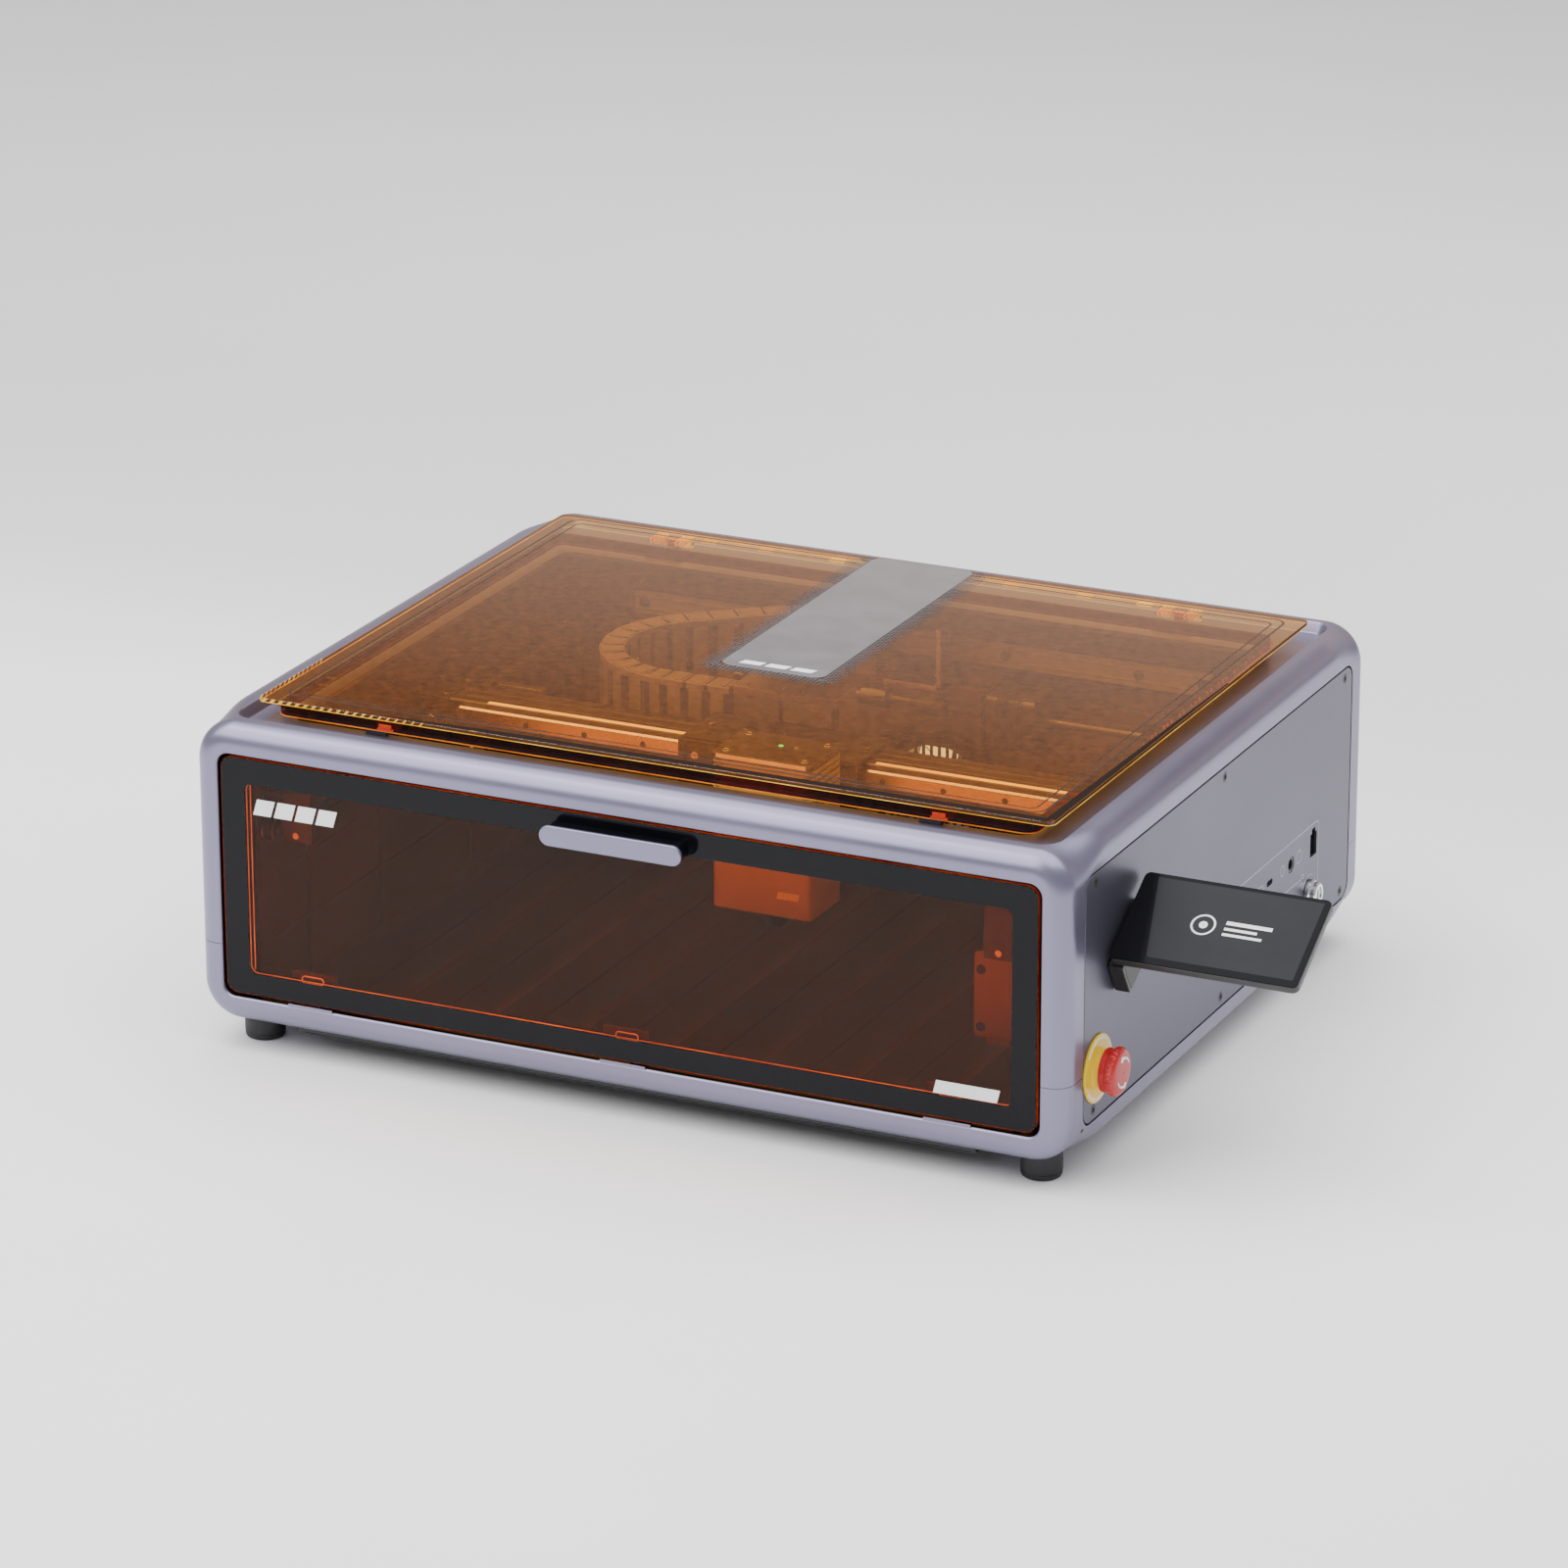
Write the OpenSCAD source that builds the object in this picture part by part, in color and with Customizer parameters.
// Enclosed desktop laser engraver: rounded casing, amber lid and front door,
// moving gantry with a diode laser module, swing-up screen, stop button and exhaust fan.
// X runs to the right, Y to the back, Z up from the surface that the feet stand on.

/* [Casing] */
// Overall width of the casing
body_w = 567; // [560:1:580]
// Overall depth of the casing
body_d = 468.8; // [464:0.4:480]
// Height of the rim above the surface
body_top = 206.6; // [205:0.2:210]
// Height of the feet, and so of the casing's underside
foot_h = 17.4; // [16:0.2:20]
// Radius of the long rounded edges
edge_r = 12.5; // [10:0.5:13]
// Corner radius of the flat front face, inside the rounded edge
face_r = 12; // [8:1:16]
// Thickness of the casing walls
wall = 3; // [2.5:0.5:4]
// Height at which the upper casing meets the lower casing
seam_z = 67; // [60:1:72]

/* [Lid] */
// Width of the lid's flange
lid_w = 515; // [505:1:520]
// Front edge of the lid's flange, measured from the centre
lid_front = 198; // [194:1:204]
// Rear edge of the lid's flange, measured from the centre
lid_rear = 202.5; // [198:0.5:206]
// Height of the lid's top face
lid_top = 213.4; // [212:0.2:216]
// Thickness of the lid's flange
lid_t = 2.5; // [2:0.1:3]
// Width of the lid's skirt
skirt_w = 493; // [484:1:496]
// Width of the metal-look strip on the lid
strip_w = 69; // [40:1:90]

/* [Front door] */
// Width of the opening in the casing's front
opening_w = 533.4; // [520:0.2:536]
// Bottom of the front opening
opening_z0 = 34.5; // [34:0.5:36]
// Top of the front opening
opening_z1 = 189; // [186:1:190]
// Width of the door panel
door_w = 529.2; // [516:0.2:532]
// Bottom edge of the door panel
door_z0 = 36.9; // [36.5:0.1:38]
// Top edge of the door panel
door_z1 = 187.5; // [184:0.5:188]
// Thickness of the amber door panel
door_t = 3; // [2.5:0.5:4]
// Thickness of the black border behind the door panel
border_t = 2; // [1:0.5:2.5]
// Width of the window in the black border
window_w = 497.4; // [480:0.2:510]
// Length of the handle
handle_l = 92; // [70:1:110]

/* [Side panels] */
// Depth of each side panel, front to back
panel_d = 420; // [416:1:424]
// Bottom edge of the side panels
panel_z0 = 34.6; // [34:0.1:36]
// Top edge of the side panels
panel_z1 = 187; // [184:0.5:188]
// Thickness of the side panels
panel_t = 1.5; // [1:0.1:2]

/* [Motion] */
// Radius of the two guide rods
rod_r = 4; // [3:0.5:5]
// Distance of each guide rod from the centre
rod_x = 229; // [228:1:230]
// Height of the guide rods
rod_z = 150; // [149:0.5:151]
// Width of the cross beam, end to end
beam_w = 432; // [431:0.5:432]
// Height of the cross beam's top face
beam_top = 168; // [167:0.5:168]
// Radius of the toothed pulleys
pulley_r = 6.37; // [6:0.01:7]
// Width of the toothed belts
belt_w = 6; // [5:0.5:6]

/* [Laser module] */
// Width of the laser module
laser_w = 65.6; // [60:0.2:66]
// Depth of the laser module
laser_d = 44; // [40:1:45]
// Height of the laser module's top plate
laser_top = 187.5; // [185:0.5:189]
// Height of the laser module's lower face
laser_bottom = 89; // [86:1:94]

/* [Screen] */
// Width of the touch screen
screen_w = 115.4; // [110:0.2:118]
// Length of the touch screen down its slope
screen_l = 65.6; // [60:0.2:68]
// Thickness of the touch screen
screen_t = 9; // [8:0.5:10]
// Slope of the touch screen from horizontal, in degrees
screen_tilt = 31.4; // [25:0.2:38]

/* [Exhaust] */
// Outer radius of the exhaust collar
collar_r = 36.5; // [34:0.5:37]
// How far the exhaust collar stands out
collar_l = 22; // [18:1:26]

/* [Hidden] */
$fn = 64;

// Colours
silver = [0.61, 0.59, 0.66];
amber = [0.75, 0.38, 0.08, 0.6];
dark = [0.10, 0.10, 0.12];
steel = [0.55, 0.56, 0.58];
brass_glint = [0.75, 0.62, 0.35];

// Half sizes of the casing
hx = body_w / 2;
hy = body_d / 2;
seam_half = 0.15;
// The handle and the exhaust collar are the furthest points front and back, the screen the furthest right
handle_proud = 11.3;
door_front = -hy + 1;
handle_face = -hy - handle_proud;
collar_end = hy + collar_l;
screen_x0 = hx + 2.5;
screen_x1 = screen_x0 + screen_w;
// The origin is the centre of the whole footprint
origin_x = (screen_x1 - hx) / 2;
origin_y = (collar_end + handle_face) / 2;

// Lid recess in the top of the casing
recess_floor = 200;
ceiling_z = 197;
recess_w = 532;
recess_front = -215.4;
recess_rear = 219;
lid_hole_w = 480;
lid_hole_front = -191;
lid_hole_rear = 169;
lid_axis_y = 196;
lid_axis_z = 207.5;
skirt_z0 = 204;
hinge_xs = [-175, 175];
pin_r = 1.5;

// Front door
door_back = door_front + door_t;
border_back = door_back + border_t;
door_axis_y = -hy + 8.9;
door_axis_z = 44.2;
door_hinge_xs = [-207.5, 1, 209];
door_pin_r = 1.25;
door_notch_w = 13;
tab_w = 30;

// Gantry
beam_y0 = -35;
beam_y1 = -5;
beam_z0 = beam_top - 30;
wall_x = 252;
belt_x = wall_x - 6;
carrier_x0 = beam_w / 2;
carrier_x1 = rod_x + 13;
rod_y0 = -205;
rod_y1 = 150;
drive_y = 168;
drive_z = 134;
idler_y = -205;
width_z = 144.5;
width_belt_y = -41;
width_motor_x = -195;
width_idler_x = 205;
rail_z = 160;

// Laser module
laser_x0 = -3;
laser_x1 = laser_x0 + laser_w;
laser_cx = (laser_x0 + laser_x1) / 2;
laser_y1 = -61;
laser_y0 = laser_y1 - laser_d;
laser_cy = (laser_y0 + laser_y1) / 2;

// Cable chain
chain_top = 187;
chain_bottom = 147;
chain_w = 16;
chain_gap = 1.2;

// Exhaust fan
fan_x = 3.5;
fan_z = 59.5;
rear_inside = hy - wall;

// Right side panel fittings, as [y, z]
stop_at = [-190.6, 65.5];
key_at = [143, 58];
port_at = [149.5, 89.6];
jack_at = [111.9, 87.4];
usb_at = [76.9, 87.5];
inlet_at = [52, 56];
rocker_at = [98, 56];
screw_ys = [-195, 0, 197];
screw_zs = [41.2, 180.5];

// ---------- helpers ----------

module place() translate([-origin_x, -origin_y, 0]) children();

module both() for (s = [0, 1]) mirror([s, 0, 0]) children();

// Cylinder along X, from x0 to x1
module rod_x(r, x0, x1, y, z) translate([x0, y, z]) rotate([0, 90, 0]) cylinder(r = r, h = x1 - x0);

// Cylinder along Y, from y0 to y1
module rod_y(r, y0, y1, x, z) translate([x, y0, z]) rotate([-90, 0, 0]) cylinder(r = r, h = y1 - y0);

// Box between two corners
module box(a, b) translate(a) cube(b - a);

// Rounded rectangle between two corners
module round_rect(a, b, r) {
    translate([a[0] + r, a[1]]) square([b[0] - a[0] - 2 * r, b[1] - a[1]]);
    translate([a[0], a[1] + r]) square([b[0] - a[0], b[1] - a[1] - 2 * r]);
    for (x = [a[0] + r, b[0] - r], y = [a[1] + r, b[1] - r]) translate([x, y]) circle(r);
}

// Rounded plate lying flat, standing in the XZ plane, or standing in the YZ plane
module plate_z(a, b, r) translate([0, 0, a[2]]) linear_extrude(b[2] - a[2])
    round_rect([a[0], a[1]], [b[0], b[1]], r);

module plate_y(a, b, r) translate([0, b[1], 0]) rotate([90, 0, 0]) linear_extrude(b[1] - a[1])
    round_rect([a[0], a[2]], [b[0], b[2]], r);

module plate_x(a, b, r) translate([a[0], 0, 0]) rotate([90, 0, 90]) linear_extrude(b[0] - a[0])
    round_rect([a[1], a[2]], [b[1], b[2]], r);

// ---------- casing ----------

// Outer form: long edges with a tight radius, front and rear faces with rounder corners
module outer_form() {
    inset = edge_r + face_r;
    hull() {
        for (sx = [-1, 1], sy = [-1, 1], z = [foot_h + inset, body_top - inset])
            translate([sx * (hx - inset), sy * (hy - edge_r), z])
                rotate([90, 0, 0]) rotate_extrude($fn = 40) intersection() {
                    translate([face_r, 0]) circle(edge_r, $fn = 32);
                    translate([0, -edge_r]) square(2 * inset);
                }
        for (sx = [-1, 1], z = [foot_h + edge_r, body_top - edge_r])
            translate([sx * (hx - edge_r), 0, z])
                rotate([90, 0, 0]) cylinder(r = edge_r, h = body_d - 88, center = true, $fn = 32);
    }
}

// Hollow inside, drawn in from the rounded edges at the front and the rear
module cavity() {
    plate_y([-hx + wall, -216, foot_h + wall], [hx - wall, 219, ceiling_z], 21);
    plate_y([-hx + 11.5, -hy + 2, 26], [hx - 11.5, -215, ceiling_z], 14);
    plate_y([-hx + 13.5, 218, 25.2], [hx - 13.5, rear_inside, 194], 14);
}

module front_opening() {
    plate_y([-opening_w / 2, -hy - 1, opening_z0], [opening_w / 2, -hy + wall + 1, opening_z1], 8);
}

module side_recesses() both() {
    gap = 0.65;
    plate_x([hx - panel_t - 0.2, -panel_d / 2 - gap, panel_z0 - gap],
            [hx + 1, panel_d / 2 + gap, panel_z1 + gap], 10.6);
    plate_x([hx - wall - 1, -182, 45], [hx, 182, panel_z1 - 18], 10);
    rod_x(9.4, hx - wall - 1, hx, stop_at[0], stop_at[1]);
    for (y = screw_ys, z = screw_zs) rod_x(1.6, hx - wall - 1, hx, y, z);
}

module lid_recess() {
    plate_z([-recess_w / 2, recess_front, recess_floor], [recess_w / 2, recess_rear, body_top + 1], 12);
    plate_z([-lid_hole_w / 2, lid_hole_front, ceiling_z - 1], [lid_hole_w / 2, lid_hole_rear, recess_floor + 1], 8);
}

module exhaust_hole() {
    rod_y(33.5, rear_inside - 1, hy + 1, fan_x, fan_z);
    for (x = [-45, 45], z = [-12, 12]) rod_y(1.6, rear_inside - 1, hy + 1, fan_x + x, fan_z + z);
}

module floor_opening() {
    plate_z([-222, -196, foot_h - 1], [222, 200, foot_h + wall + 1], 10);
    for (sx = [-1, 1], sy = [-1, 1]) translate([sx * 255.7, sy * 204, foot_h - 1]) cylinder(r = 2.1, h = wall + 2);
}

module upper_casing() place() color(silver) difference() {
    intersection() {
        outer_form();
        box([-hx - 1, -hy - 1, seam_z + seam_half], [hx + 1, hy + 1, body_top + 1]);
    }
    cavity();
    front_opening();
    side_recesses();
    lid_recess();
    exhaust_hole();
}

module lower_casing() place() color(silver) {
    difference() {
        intersection() {
            outer_form();
            box([-hx - 1, -hy - 1, foot_h - 1], [hx + 1, hy + 1, seam_z - seam_half]);
        }
        cavity();
        front_opening();
        side_recesses();
        exhaust_hole();
        floor_opening();
    }
    // Hooked rails that hold the base tray
    both() {
        box([231.3, -190, 12.6], [234, 190, foot_h + 0.5]);
        box([226, -190, 10.6], [234, 190, 12.6]);
    }
    // Raised tabs under the door's hinges
    for (x = door_hinge_xs) box([x - tab_w / 2, -hy + 0.1, opening_z0 - 0.5], [x + tab_w / 2, -hy + 1.4, opening_z0 + 1.1]);
}

module feet() place() color([0.07, 0.07, 0.08])
    for (sx = [-1, 1], sy = [-1, 1]) translate([sx * 255.7, sy * 204, 0]) difference() {
        cylinder(r = 12.4, h = foot_h);
        translate([0, 0, -1]) cylinder(r = 4, h = 7);
        translate([0, 0, 5]) cylinder(r = 2.1, h = foot_h);
    }

module side_panel_blank() difference() {
    plate_x([hx - panel_t, -panel_d / 2, panel_z0], [hx, panel_d / 2, panel_z1], 10);
    for (y = screw_ys, z = screw_zs) rod_x(1.7, hx - wall, hx + 1, y, z);
}

module left_side_panel() place() color(silver) mirror([1, 0, 0]) side_panel_blank();

module right_side_panel() place() color(silver) difference() {
    side_panel_blank();
    rod_x(8.2, hx - wall, hx + 1, stop_at[0], stop_at[1]);
    rod_x(6.1, hx - wall, hx + 1, key_at[0], key_at[1]);
    rod_x(5.2, hx - wall, hx + 1, jack_at[0], jack_at[1]);
    rod_x(3.4, hx - wall, hx + 1, inlet_at[0], inlet_at[1]);
    rod_x(4, hx - wall, hx + 1, pivot_y, pivot_z);
    plate_x([hx - wall, port_at[0] - 5.3, port_at[1] - 9], [hx + 1, port_at[0] + 5.3, port_at[1] + 6], 0.5);
    box([hx - wall, port_at[0] - 2.8, port_at[1] + 5], [hx + 1, port_at[0] + 2.8, port_at[1] + 9]);
    plate_x([hx - wall, usb_at[0] - 4.8, usb_at[1] - 1.9], [hx + 1, usb_at[0] + 4.8, usb_at[1] + 1.9], 1.85);
    plate_x([hx - wall, rocker_at[0] - 10, rocker_at[1] - 7], [hx + 1, rocker_at[0] + 10, rocker_at[1] + 7], 0.6);
}

module panel_screws() place() color(dark) both() for (y = screw_ys, z = screw_zs) difference() {
    union() {
        rod_x(1.55, hx - 6, hx - 0.3, y, z);
        rod_x(2.9, hx, hx + 0.5, y, z);
        rod_x(1.55, hx - 0.4, hx + 0.2, y, z);
    }
    rod_x(1.1, hx - 0.6, hx + 1, y, z, $fn = 6);
}

module bed_plate() place() color([0.16, 0.16, 0.17]) difference() {
    plate_z([-240, -203, foot_h + wall], [240, 205.5, foot_h + wall + 2], 6);
    for (x = [-180:60:180]) plate_z([x - 3, -180, foot_h], [x + 3, 150, foot_h + 8], 2.9);
}

module inner_walls() place() color([0.30, 0.29, 0.31]) both() difference() {
    box([wall_x, -213, foot_h + wall], [wall_x + 2, 217, ceiling_z - 1]);
    rod_x(2.08, wall_x - 1, wall_x + 3, idler_y, drive_z);
    rod_x(3.08, wall_x - 1, wall_x + 3, drive_y, drive_z);
}

module base_tray() place() color(dark) difference() {
    union() {
        plate_z([-222, -222, 13], [222, 205, 16.4], 3);
        both() box([218, -189, 13], [230.6, 189, 14.6]);
        box([-222, -222, 13], [222, -219.5, 17]);
    }
    plate_z([-205, -205, 14.6], [205, 195, 18], 4);
}

// ---------- lid ----------

module lid_panel() place() color(amber) {
    plate_z([-lid_w / 2, -lid_front, lid_top - lid_t], [lid_w / 2, lid_rear, lid_top], 5);
    difference() {
        plate_z([-skirt_w / 2, -lid_front + 0.4, skirt_z0], [skirt_w / 2, 172, lid_top - lid_t + 0.5], 9);
        plate_z([-skirt_w / 2 + 3, -lid_front + 3.4, skirt_z0 - 1], [skirt_w / 2 - 3, 169, lid_top - lid_t], 6.5);
    }
}

module lid_strip() place() color([0.55, 0.55, 0.58])
    plate_z([-36, -26, lid_top], [-36 + strip_w, lid_rear - 0.3, lid_top + 0.35], 7);

module lid_hinge_leaves() place() color(amber) for (x = hinge_xs) {
    difference() {
        union() {
            box([x - 13, lid_axis_y - 14, lid_top - lid_t - 1.6], [x + 13, lid_axis_y - 4, lid_top - lid_t]);
            for (s = [-1, 1]) rod_x(3.4, x + s * 8.5 - 4.2, x + s * 8.5 + 4.2, lid_axis_y, lid_axis_z);
            for (s = [-1, 1]) box([x + s * 8.5 - 4.2, lid_axis_y - 5, lid_axis_z + 1.5],
                                  [x + s * 8.5 + 4.2, lid_axis_y + 2, lid_top - lid_t]);
        }
        rod_x(pin_r + 0.05, x - 14, x + 14, lid_axis_y, lid_axis_z);
    }
}

module lid_hinge_brackets() place() color(steel) for (x = hinge_xs) difference() {
    union() {
        box([x - 13, lid_axis_y - 17, recess_floor], [x + 13, lid_axis_y + 2.2, recess_floor + 1.6]);
        box([x - 3.9, lid_axis_y - 2.8, recess_floor], [x + 3.9, lid_axis_y + 2.2, lid_axis_z]);
        rod_x(2.9, x - 3.9, x + 3.9, lid_axis_y, lid_axis_z);
    }
    rod_x(pin_r, x - 14, x + 14, lid_axis_y, lid_axis_z);
}

module lid_catches() place() color([0.5, 0.08, 0.05]) both()
    box([172, -lid_front + 3.4, skirt_z0 + 0.6], [188, -lid_front + 7.2, lid_top - lid_t]);

module catch_magnets() place() color(dark) {
    both() box([173, -lid_front + 3.2, recess_floor], [187, -lid_front + 7, recess_floor + 3]);
    both() box([110, border_back + 0.8, 179], [126, border_back + 6, ceiling_z]);
}

module hinge_pins() place() color(steel) {
    for (x = hinge_xs) rod_x(pin_r, x - 13.4, x + 13.4, lid_axis_y, lid_axis_z);
    for (x = door_hinge_xs) rod_x(door_pin_r, x - 14.2, x + 14.2, door_axis_y, door_axis_z);
}

// ---------- front door ----------

module door_notches(y0, y1) for (x = door_hinge_xs)
    box([x - door_notch_w / 2, y0, door_z0 - 1], [x + door_notch_w / 2, y1, door_axis_z + 2.5]);

module door_panel() place() color(amber) difference() {
    plate_y([-door_w / 2, door_front, door_z0], [door_w / 2, door_back, door_z1], 7.5);
    door_notches(door_front + 1.2, door_back + 1);
}

module door_border() place() color([0.06, 0.06, 0.08]) difference() {
    plate_y([-door_w / 2 + 0.6, door_back, door_z0 + 0.6], [door_w / 2 - 0.6, border_back, door_z1 - 0.6], 7);
    plate_y([-window_w / 2, door_back - 1, 50.7], [window_w / 2, border_back + 1, 171.7], 5);
    door_notches(door_back - 1, border_back + 1);
}

module door_handle() place() color(silver) {
    plate_y([-handle_l / 2, handle_face, 168.7], [handle_l / 2, handle_face + 3, 181.2], 6.2);
    plate_y([-handle_l / 2 + 3, handle_face + 3, 171.8], [handle_l / 2 - 3, door_front - 1.5, 178.1], 3.1);
    plate_y([-handle_l / 2 + 1, door_front - 1.5, 169.7], [handle_l / 2 - 1, door_front, 180.2], 5.2);
}

module door_hinge_leaves() place() color(steel) for (x = door_hinge_xs) difference() {
    union() {
        box([x - 15, border_back, 47.4], [x + 15, border_back + 1.4, 56]);
        for (s = [-1, 1]) {
            box([x + s * 11 - 4, border_back, 41], [x + s * 11 + 4, border_back + 1.4, 48]);
            rod_x(2.75, x + s * 11 - 4, x + s * 11 + 4, door_axis_y, door_axis_z);
        }
    }
    rod_x(door_pin_r + 0.05, x - 16, x + 16, door_axis_y, door_axis_z);
}

module door_hinge_brackets() place() color(steel) for (x = door_hinge_xs) difference() {
    union() {
        rod_x(2.55, x - 5.5, x + 5.5, door_axis_y, door_axis_z);
        box([x - 5.5, door_axis_y, door_axis_z - 2.2], [x + 5.5, -209, door_axis_z + 2.2]);
        box([x - 5.5, -213, foot_h + wall], [x + 5.5, -209, door_axis_z + 2.2]);
        box([x - 14, -213, foot_h + wall], [x + 14, -205, foot_h + wall + 2]);
    }
    rod_x(door_pin_r, x - 16, x + 16, door_axis_y, door_axis_z);
}

// ---------- gantry: depth motion ----------

module guide_rods() place() color(steel) both() rod_y(rod_r, rod_y0, rod_y1, rod_x, rod_z);

module rod_end_blocks() place() color(dark) both() for (y = [rod_y0 - 2, rod_y1 - 10]) difference() {
    union() {
        box([rod_x - 10, y, 128], [rod_x + 10, y + 12, 160]);
        box([rod_x - 10, y, 146], [wall_x, y + 12, 158]);
    }
    rod_y(rod_r, y - 1, y + 13, rod_x, rod_z);
}

module rear_cross_beam() place() color([0.42, 0.36, 0.33]) difference() {
    union() {
        box([-200, 189, 156], [200, 203, 176]);
        box([-200, 203, 158], [200, rear_inside, 162]);
    }
    for (x = [-193, 60, 150, 193]) rod_y(3.2, 185, 215, x, 168);
    box([-190, 188, 160.5], [190, 190.5, 164]);
}

module depth_motor() place() color(dark) difference() {
    union() {
        box([62, drive_y - 17.5, drive_z - 17.5], [96, drive_y + 17.5, drive_z + 17.5]);
        box([60, drive_y - 18.5, drive_z - 22], [62, rear_inside, drive_z + 18.5]);
    }
    rod_x(3.3, 58, 98, drive_y, drive_z);
}

module belt_loop(a, b, r, t) {
    // Closed loop round two pulleys whose centres lie on one line
    difference() {
        union() {
            translate([a, -r - t]) square([b - a, 2 * (r + t)]);
            translate([a, 0]) circle(r + t);
            translate([b, 0]) circle(r + t);
        }
        translate([a, -r]) square([b - a, 2 * r]);
        translate([a, 0]) circle(r);
        translate([b, 0]) circle(r);
    }
}

module depth_belts() place() color([0.05, 0.05, 0.05]) both()
    translate([belt_x - belt_w / 2, 0, drive_z]) rotate([90, 0, 90]) linear_extrude(belt_w)
        belt_loop(idler_y, drive_y, pulley_r + 0.35, 1);

module pulley_x(x0, y, z, bore) difference() {
    union() {
        rod_x(pulley_r, x0, x0 + belt_w + 0.4, y, z);
        rod_x(pulley_r + 1.8, x0 - 1, x0, y, z);
        rod_x(pulley_r + 1.8, x0 + belt_w + 0.4, x0 + belt_w + 1.2, y, z);
    }
    rod_x(bore, x0 - 3, x0 + belt_w + 3, y, z);
}

module depth_drive_shaft() place() color(steel) {
    rod_x(3, -wall_x - 2, wall_x + 2, drive_y, drive_z);
    both() pulley_x(belt_x - belt_w / 2 - 0.2, drive_y, drive_z, 2.9);
}

module depth_idlers() place() color(steel) both() {
    pulley_x(belt_x - belt_w / 2 - 0.2, idler_y, drive_z, 1.9);
    rod_x(2, belt_x - belt_w / 2 - 2, wall_x + 2, idler_y, drive_z);
}

module cross_beam() place() color(brass_glint) difference() {
    union() {
        plate_x([-carrier_x0, beam_y0, beam_z0], [carrier_x0, beam_y1, beam_top], 2.5);
        rod_y(1.5, width_belt_y - 4.6, beam_y0 + 1, width_idler_x, width_z);
    }
    plate_x([-carrier_x0 - 1, beam_y0 + 3, beam_z0 + 3], [carrier_x0 + 1, beam_y1 - 3, beam_top - 3], 2);
    rod_y(3, beam_y0 - 1, beam_y1 + 1, width_motor_x, width_z);
}

module beam_end_carriers() place() color(dark) both() difference() {
    box([carrier_x0, -38, 136], [carrier_x1, 2, beam_top + 1]);
    rod_y(rod_r + 0.05, -40, 4, rod_x, rod_z);
}

module beam_rail() place() color(steel) difference() {
    box([-208, beam_y0 - 6.5, rail_z - 4.5], [208, beam_y0, rail_z + 4.5]);
    for (x = [-200:40:200]) rod_y(1.8, beam_y0 - 10, beam_y0 - 3, x, rail_z);
}

module width_motor() place() color(dark) difference() {
    union() {
        box([width_motor_x - 17.5, beam_y1 + 2, width_z - 17.5], [width_motor_x + 17.5, beam_y1 + 28, width_z + 17.5]);
        box([width_motor_x - 19, beam_y1, width_z - 19], [width_motor_x + 19, beam_y1 + 2, width_z + 19]);
    }
    rod_y(2.6, beam_y1 - 1, beam_y1 + 20, width_motor_x, width_z);
}

module width_motor_pulley() place() color(steel) {
    translate([width_motor_x, 0, width_z]) rotate([0, 0, -90]) pulley_x(-width_belt_y - belt_w / 2 - 0.2, 0, 0, 2.4);
    rod_y(2.5, width_belt_y - belt_w / 2 - 1, beam_y1 + 14, width_motor_x, width_z);
}

module width_idler() place() color(steel)
    translate([width_idler_x, 0, width_z]) rotate([0, 0, -90]) pulley_x(-width_belt_y - belt_w / 2 - 0.2, 0, 0, 1.55);

module width_belt() place() color([0.05, 0.05, 0.05])
    translate([0, width_belt_y + belt_w / 2, width_z]) rotate([90, 0, 0]) linear_extrude(belt_w)
        belt_loop(width_motor_x, width_idler_x, pulley_r + 0.35, 1);

// ---------- carriage and laser ----------

module carriage_plate() place() color([0.18, 0.17, 0.17]) difference() {
    union() {
        // Front plate, bridge over the beam, and rear hook
        box([-52, -50.5, 130], [66, -46.4, beam_top + 3.4]);
        box([-52, -50.5, beam_top + 1], [66, 3, beam_top + 3.4]);
        box([-12, 0, 150], [31, 3, beam_top + 3.4]);
        // Dovetail that the laser module slides on for focus
        box([laser_cx - 18, -58, 134], [laser_cx + 18, -50.5, 178]);
    }
    for (x = [-38, -22]) rod_y(4, -52, -45, x, 148);
    for (x = [-40, 52]) rod_y(1.7, -52, -45, x, 164);
}

module carriage_bearing() place() color(steel) difference() {
    box([-14, -46.4, rail_z - 6.8], [46, beam_y0 - 0.6, rail_z + 7.6]);
    box([-16, beam_y0 - 6.8, rail_z - 4.8], [48, beam_y0 + 1, rail_z + 4.8]);
}

module chain_bracket() place() color([0.30, 0.28, 0.28]) difference() {
    union() {
        plate_z([-41, 3, 184], [29, 33, 190], 2);
        box([-10, 3, 150], [29, 8, 184]);
        box([-10, 3, 150], [-6, 31, 184]);
    }
    for (x = [-33, 21], y = [9, 27]) translate([x, y, 182]) cylinder(r = 1.7, h = 10);
}

module laser_body() place() color([0.42, 0.40, 0.42]) difference() {
    union() {
        plate_z([laser_x0, laser_y0, laser_bottom], [laser_x1, laser_y1, laser_top - 3.5], 4);
        box([laser_cx - 14, laser_y1, 100], [laser_cx + 14, laser_y1 + 2.6, 180]);
    }
    // Fan well at the top round the fan's axle, and slots in the sides
    translate([laser_cx, laser_cy, 158]) difference() {
        cylinder(r = 19.5, h = 40);
        translate([0, 0, -1]) cylinder(r = 2.5, h = 16);
    }
    for (z = [162:5:177]) box([laser_x1 - 15, laser_cy - 13, z], [laser_x1 + 1, laser_cy + 13, z + 2.2]);
    for (z = [162:5:177]) box([laser_x0 - 1, laser_cy - 13, z], [laser_x0 + 15, laser_cy + 13, z + 2.2]);
}

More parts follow.
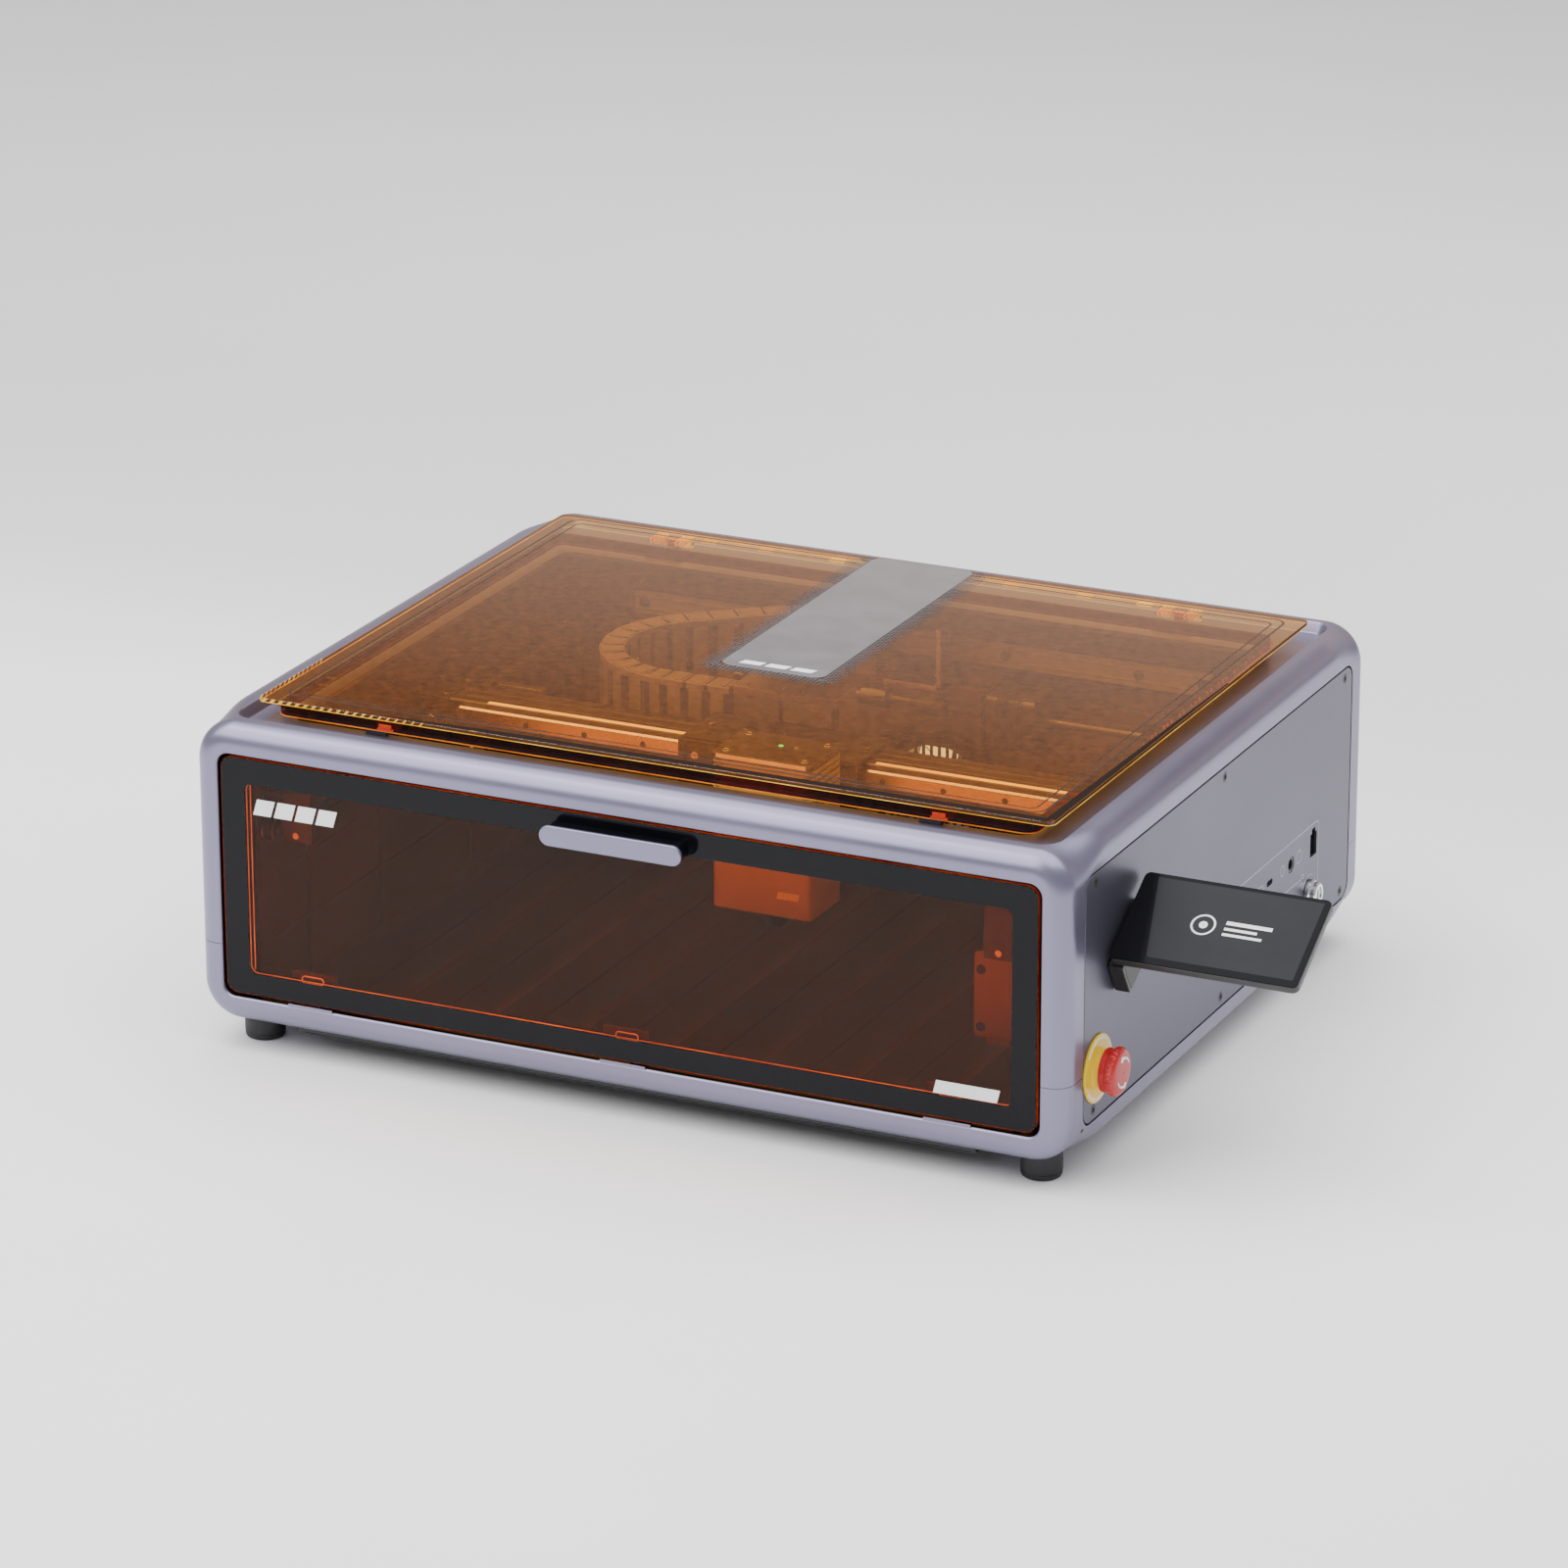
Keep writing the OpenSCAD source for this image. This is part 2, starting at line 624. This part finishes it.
module laser_top_plate() place() color([0.34, 0.32, 0.34]) difference() {
    plate_z([laser_x0 - 0.5, laser_y0 - 0.5, laser_top - 3.5], [laser_x1 + 0.5, laser_y1 + 0.5, laser_top], 4);
    for (x = [laser_x0 + 7, laser_x1 - 7], y = [laser_y0 + 6, laser_y1 - 6])
        translate([x, y, laser_top - 2]) cylinder(r = 2.8, h = 3);
    translate([laser_cx + 1, laser_cy + 4, laser_top - 1]) cylinder(r = 1.5, h = 3);
}

module laser_nozzle() place() color([0.12, 0.12, 0.12]) difference() {
    translate([laser_cx, laser_cy, 76]) rotate_extrude()
        polygon([[3, 0], [6.5, 0], [11, 9], [11, 13], [3, 13]]);
    translate([laser_cx, laser_cy, 70]) cylinder(r = 3, h = 30);
}

module rotor(hub_r, tip_r, h, blades, pitch, bore) {
    difference() {
        cylinder(r = hub_r, h = h);
        translate([0, 0, -1]) cylinder(r = bore, h = h + 2);
    }
    for (i = [0:blades - 1]) rotate([0, 0, i * 360 / blades]) translate([hub_r - 1, 0, h / 2])
        rotate([pitch, 0, 0]) translate([0, -0.8, -h / 2 + 1]) cube([tip_r - hub_r + 1, 1.6, h - 2]);
}

module laser_fan() place() color([0.08, 0.08, 0.08])
    translate([laser_cx, laser_cy, 165]) rotor(8, 18, 9, 9, 32, 2.55);

// ---------- cable chain ----------

// Centre line of the chain seen from above: straight from the bracket, round the left-hand bend,
// then a long sweep to the anchor at the rear
bend_r = 58;
bend_c = [-92, 70];
front_x1 = -42;
rear_end = [-6, 178];
function bend_pt(a) = [bend_c[0] + bend_r * cos(a), bend_c[1] + bend_r * sin(a)];
function mix(a, b, t) = a * (1 - t) + b * t;
function curve(a, b, c, d, t) = mix(mix(mix(a, b, t), mix(b, c, t), t), mix(mix(b, c, t), mix(c, d, t), t), t);
bend_end = 128;
sweep_a = bend_pt(bend_end);
sweep_b = sweep_a + 38 * [-cos(bend_end + 90), -sin(bend_end + 90)];
sweep_c = rear_end - [60, 0];
links_front = [for (i = [0:3]) [front_x1 - 3 - i * 14.6, bend_c[1] - bend_r]];
links_bend_front = [for (i = [0:4]) bend_pt(262 - i * 15)];
links_bend_rear = [for (i = [0:3]) bend_pt(187 - i * 15)];
links_sweep = [for (i = [0:7]) curve(sweep_a, sweep_b, sweep_c, rear_end, i / 7.5)];

module chain_link(a, b) {
    d = b - a;
    translate([a[0], a[1], chain_bottom]) rotate([0, 0, atan2(d[1], d[0])]) difference() {
        translate([0.6, -chain_w / 2, 0]) cube([norm(d) - chain_gap, chain_w, chain_top - chain_bottom]);
        translate([-1, -chain_w / 2 + 2, 3]) cube([norm(d) + 2, chain_w - 4, chain_top - chain_bottom - 6]);
    }
}

module chain_links(pts) for (i = [0:len(pts) - 2]) chain_link(pts[i], pts[i + 1]);

module chain_front_run() place() color([0.22, 0.18, 0.17])
    chain_links([each links_front, each links_bend_front]);

module chain_rear_run() place() color([0.22, 0.18, 0.17])
    chain_links([bend_pt(199), each links_bend_rear, each links_sweep]);

module chain_anchor() place() color(steel) {
    box([-16, 169, 142], [24, rear_inside, 146]);
    box([20, 169, 142], [24, 187, 184]);
}

// ---------- exhaust, pump and electronics ----------

module fan_housing() place() color(dark) {
    difference() {
        plate_y([fan_x - 34, 209, fan_z - 34], [fan_x + 34, rear_inside, fan_z + 34], 4);
        rod_y(31.5, 208, hy, fan_x, fan_z);
    }
    // Three struts that carry the rotor's axle
    translate([fan_x, 228.4, fan_z]) rotate([-90, 0, 0]) {
        cylinder(r = 12, h = 3);
        for (a = [40, 160, 280]) rotate([0, 0, a]) translate([8, -2, 0.3]) cube([24.7, 4, 2.2]);
        translate([0, 0, -14]) cylinder(r = 3, h = 15);
    }
}

module exhaust_rotor() place() color([0.14, 0.14, 0.15])
    translate([fan_x, 212, fan_z]) rotate([-90, 0, 0]) rotor(13, 30.5, 14, 7, 38, 3.05);

module fan_grille() place() color([0.40, 0.30, 0.25]) difference() {
    plate_y([fan_x - 39.5, 206, fan_z - 36], [fan_x + 39.5, 209, fan_z + 36], 3.5);
    for (i = [-6:6]) plate_y([fan_x + i * 5.5 - 2, 205, fan_z - 32], [fan_x + i * 5.5 + 2, 210, fan_z + 32], 1.9);
}

module exhaust_collar() place() color(dark) difference() {
    union() {
        rod_y(collar_r, hy, collar_end, fan_x, fan_z);
        rod_y(collar_r + 2, hy, hy + 2.5, fan_x, fan_z);
        plate_y([fan_x - 51, hy, fan_z - 19], [fan_x + 51, hy + 2.5, fan_z + 19], 6);
    }
    rod_y(collar_r - 3, hy - 1, collar_end + 1, fan_x, fan_z);
    for (x = [-45, 45], z = [-12, 12]) rod_y(1.7, hy - 1, hy + 4, fan_x + x, fan_z + z);
}

module air_pump() place() color([0.45, 0.28, 0.18]) difference() {
    union() {
        plate_y([206, -172, 60], [wall_x, -108, 121], 2);
        box([207, -171, 121], [240, -120, 134]);
        plate_y([199, -174, 65], [wall_x, -172, 118], 3);
    }
    for (z = [71.5, 107]) rod_y(2.6, -175, -173, 203.5, z);
}

module control_board() place() color([0.05, 0.25, 0.12]) {
    // Circuit board, then the three sockets that stand on it
    box([wall_x + 6, 20, 34], [wall_x + 7.6, 176, 150]);
    difference() {
        box([wall_x + 7.6, port_at[0] - 7, port_at[1] - 11], [hx - panel_t, port_at[0] + 7, port_at[1] + 11]);
        box([hx - 14, port_at[0] - 5, port_at[1] - 8.7], [hx, port_at[0] + 5, port_at[1] + 5.7]);
    }
    difference() {
        rod_x(6.5, wall_x + 7.6, hx - panel_t, jack_at[0], jack_at[1]);
        rod_x(4.6, hx - 16, hx, jack_at[0], jack_at[1]);
    }
    difference() {
        box([wall_x + 7.6, usb_at[0] - 6, usb_at[1] - 3], [hx - panel_t, usb_at[0] + 6, usb_at[1] + 3]);
        plate_x([hx - 12, usb_at[0] - 4.5, usb_at[1] - 1.6], [hx, usb_at[0] + 4.5, usb_at[1] + 1.6], 1.55);
    }
    for (z = [110:12:134]) box([wall_x + 7.6, 40, z], [wall_x + 15, 60, z + 8]);
}

module power_inlet() place() color([0.05, 0.05, 0.05]) difference() {
    box([wall_x + 9, 42, 46], [hx - panel_t, 112, 66]);
    rod_x(2.8, hx - 12.5, hx, inlet_at[0], inlet_at[1]);
    box([hx - 17, rocker_at[0] - 9.5, rocker_at[1] - 6.2], [hx, rocker_at[0] + 9.5, rocker_at[1] + 6.2]);
}

module power_rocker() place() color([0.06, 0.06, 0.06])
    // Round about an upright axis behind the panel, with a flat shallow V in front
    translate([hx - 6.5, rocker_at[0], rocker_at[1]]) rotate([0, 0, -8]) difference() {
        intersection() {
            translate([0, 0, -5.4]) cylinder(r = 8.7, h = 10.8);
            box([-4, -8.4, -6], [9, 8.4, 6]);
        }
        for (s = [-1, 1]) translate([7.2, 0, 0]) rotate([0, 0, s * 10]) translate([0, s > 0 ? -12 : 0, -7])
            cube([6, 12, 14]);
    }

module key_switch_body() place() color([0.78, 0.78, 0.80]) difference() {
    union() {
        rod_x(9, hx, hx + 3.5, key_at[0], key_at[1]);
        rod_x(7.6, hx + 3.5, hx + 7, key_at[0], key_at[1]);
        rod_x(6, hx - 20, hx, key_at[0], key_at[1]);
    }
    rod_x(5.05, hx - 12, hx + 8, key_at[0], key_at[1]);
}

module key_barrel() place() color([0.70, 0.70, 0.72]) difference() {
    rod_x(5, hx - 11.8, hx + 6.4, key_at[0], key_at[1]);
    box([hx, key_at[0] - 0.7, key_at[1] - 3.4], [hx + 8, key_at[0] + 0.7, key_at[1] + 3.4]);
}

// ---------- emergency stop ----------

module stop_switch_base() place() color([0.90, 0.76, 0.08]) difference() {
    union() {
        rod_x(20.5, hx, hx + 1.4, stop_at[0], stop_at[1]);
        rod_x(11.8, hx + 1.4, hx + 7.4, stop_at[0], stop_at[1]);
        rod_x(8.2, hx - 10, hx, stop_at[0], stop_at[1]);
        box([wall_x + 8, stop_at[0] - 9, stop_at[1] - 9], [hx - 10, stop_at[0] + 9, stop_at[1] + 9]);
    }
    rod_x(4.05, hx - 14, hx + 8, stop_at[0], stop_at[1]);
}

module stop_plunger() place() color([0.85, 0.85, 0.85]) rod_x(4, hx - 8, hx + 13.2, stop_at[0], stop_at[1]);

module stop_head() place() color([0.78, 0.10, 0.12])
    difference() {
        translate([hx, stop_at[0], stop_at[1]]) rotate([0, 90, 0]) rotate_extrude()
            polygon([[0, 11.4], [12.2, 11.4], [12.2, 6], [13.2, 6], [13.2, 9.6], [12.6, 10.4], [14.5, 11.2],
                     [14.5, 14.2], [13.2, 15.8], [9, 16.6], [0, 16.8]]);
        rod_x(4.03, hx + 10, hx + 13.4, stop_at[0], stop_at[1]);
    }

// ---------- screen ----------

// The screen's own axes: x to the right, u up its slope, v out of its face; u = 0 at its lower edge
screen_low = [-182.5, 130.9];
module on_slope() translate([0, screen_low[0], screen_low[1]]) rotate([screen_tilt, 0, 0]) children();
pivot_u = 12;
pivot_v = -20;
pivot_y = screen_low[0] + pivot_u * cos(screen_tilt) - pivot_v * sin(screen_tilt);
pivot_z = screen_low[1] + pivot_u * sin(screen_tilt) + pivot_v * cos(screen_tilt);

module screen_unit() place() color([0.08, 0.08, 0.09]) difference() {
    union() {
        on_slope() plate_z([screen_x0, 0, -screen_t + 2.5], [screen_x1, screen_l, 0], 3.5);
        on_slope() plate_z([screen_x0 + 3, 3, -screen_t], [screen_x1 - 3, screen_l - 3, -screen_t + 3], 3);
        on_slope() box([hx + 0.6, 0, -screen_t - 23], [hx + 10, 52, -screen_t + 0.5]);
    }
    rod_x(4.05, hx - 1, hx + 8, pivot_y, pivot_z);
}

module screen_pivot() place() color(steel) {
    rod_x(4, hx - panel_t - 3, hx + 7.8, pivot_y, pivot_z);
    rod_x(7, hx - panel_t - 3, hx - panel_t, pivot_y, pivot_z);
}

upper_casing();
lower_casing();
left_side_panel();
right_side_panel();
panel_screws();
feet();
bed_plate();
inner_walls();
base_tray();
lid_hinge_brackets();
door_hinge_brackets();
hinge_pins();
catch_magnets();
guide_rods();
rod_end_blocks();
rear_cross_beam();
depth_motor();
depth_belts();
fan_housing();
fan_grille();
exhaust_collar();
air_pump();
control_board();
power_inlet();
key_switch_body();
stop_switch_base();
screen_pivot();
chain_anchor();
lid_panel();
lid_strip();
lid_hinge_leaves();
lid_catches();
door_panel();
door_border();
door_handle();
door_hinge_leaves();
cross_beam();
beam_end_carriers();
beam_rail();
width_motor();
width_belt();
carriage_plate();
carriage_bearing();
chain_bracket();
laser_body();
laser_top_plate();
laser_nozzle();
laser_fan();
chain_rear_run();
chain_front_run();
depth_drive_shaft();
depth_idlers();
width_motor_pulley();
width_idler();
exhaust_rotor();
key_barrel();
power_rocker();
stop_plunger();
stop_head();
screen_unit();
